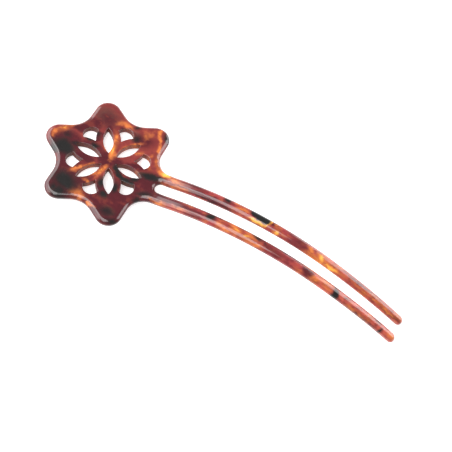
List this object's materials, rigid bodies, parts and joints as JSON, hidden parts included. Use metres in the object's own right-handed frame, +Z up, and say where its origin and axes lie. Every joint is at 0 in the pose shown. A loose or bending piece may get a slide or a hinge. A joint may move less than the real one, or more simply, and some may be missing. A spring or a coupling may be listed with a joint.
{
  "type": "two-pronged hair pin",
  "caption": "Arched two-pronged hair pin of glossy tortoiseshell acetate with a flat star head pierced by a rosette of petals.",
  "frame": {"origin": "middle of the pin's length and width, on the surface that it lies on as an arch, standing on the star's far point and on both tine ends", "axes": "+X from the star head towards the tine ends, +Z up out of the arch, +Y to the left"},
  "size_m": [0.1418, 0.0434, 0.016],
  "materials": {
    "tortoiseshell_acetate": "polished tortoiseshell with amber clouds and near-black blotches, slightly translucent"
  },
  "bodies": {
    "root": {"star_head": "tortoiseshell_acetate", "left_tine": "tortoiseshell_acetate", "right_tine": "tortoiseshell_acetate"}
  },
  "joints": []
}
